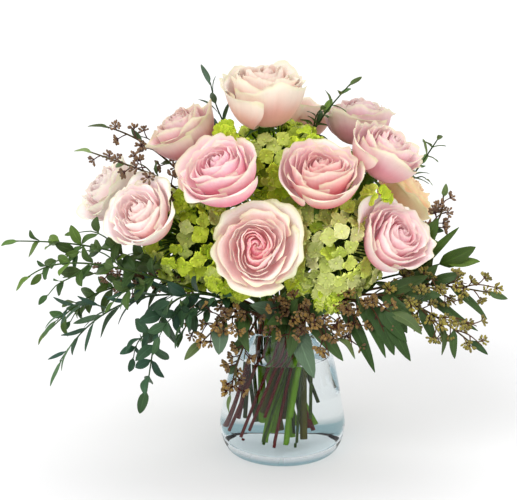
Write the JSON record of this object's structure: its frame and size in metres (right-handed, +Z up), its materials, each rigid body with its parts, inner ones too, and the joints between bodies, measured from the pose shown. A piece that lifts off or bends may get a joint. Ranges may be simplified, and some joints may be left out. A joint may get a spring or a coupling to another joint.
{
  "type": "floral table centerpiece",
  "caption": "Low, wide table arrangement of garden roses, green hydrangea heads and eucalyptus sprays standing in a small tapered clear glass vase of water.",
  "frame": {"origin": "centre of the vase's foot, on the surface that it stands on", "axes": "+Z up along the vase's axis, +X along the longest extent to the viewer's right, -Y towards the viewer, the show side"},
  "size_m": [0.4908, 0.2364, 0.3926],
  "materials": {
    "glass": "clear polished glass",
    "water": "clear still water",
    "petal": "soft matte petal, pink to cream",
    "floret": "soft matte floret, lime green",
    "stem": "smooth green stem",
    "leaf": "satin leaf, blue-green to green",
    "seeded_leaf": "satin grey-green leaf with olive-brown seeds"
  },
  "bodies": {
    "root": {"vase": "glass", "rose_01_bloom": "petal", "rose_01_stem": "stem", "rose_02_bloom": "petal", "rose_02_stem": "stem", "rose_03_bloom": "petal", "rose_03_stem": "stem", "rose_04_bloom": "petal", "rose_04_stem": "stem", "rose_05_bloom": "petal", "rose_05_stem": "stem", "rose_06_bloom": "petal", "rose_06_stem": "stem", "rose_07_bloom": "petal", "rose_07_stem": "stem", "rose_08_bloom": "petal", "rose_08_stem": "stem", "rose_09_bloom": "petal", "rose_09_stem": "stem", "rose_10_bloom": "petal", "rose_10_stem": "stem", "rose_11_bloom": "petal", "rose_11_stem": "stem", "rose_12_bloom": "petal", "rose_12_stem": "stem", "hydrangea_1_stem": "stem", "hydrangea_2_stem": "stem", "hydrangea_3_stem": "stem", "hydrangea_4_stem": "stem", "parvifolia_left_high": "leaf", "parvifolia_left_middle": "leaf", "parvifolia_left_low": "leaf", "willow_left": "leaf", "parvifolia_drooping": "leaf", "parvifolia_front_left": "leaf", "seeded_left": "seeded_leaf", "seeded_high_left": "seeded_leaf", "seeded_side_left": "seeded_leaf", "willow_top": "leaf", "parvifolia_top_right": "leaf", "parvifolia_right": "leaf", "seeded_right_high": "seeded_leaf", "broad_right": "leaf", "seeded_right": "seeded_leaf", "seeded_low_right": "seeded_leaf", "seeded_front_right": "seeded_leaf", "seeded_front": "seeded_leaf", "seeded_front_left": "seeded_leaf", "seeded_hanging": "seeded_leaf", "parvifolia_back_left": "leaf", "broad_back_right": "leaf", "hydrangea_1_head": "floret", "hydrangea_2_head": "floret", "hydrangea_3_head": "floret", "hydrangea_4_head": "floret", "water": "water"}
  },
  "joints": []
}
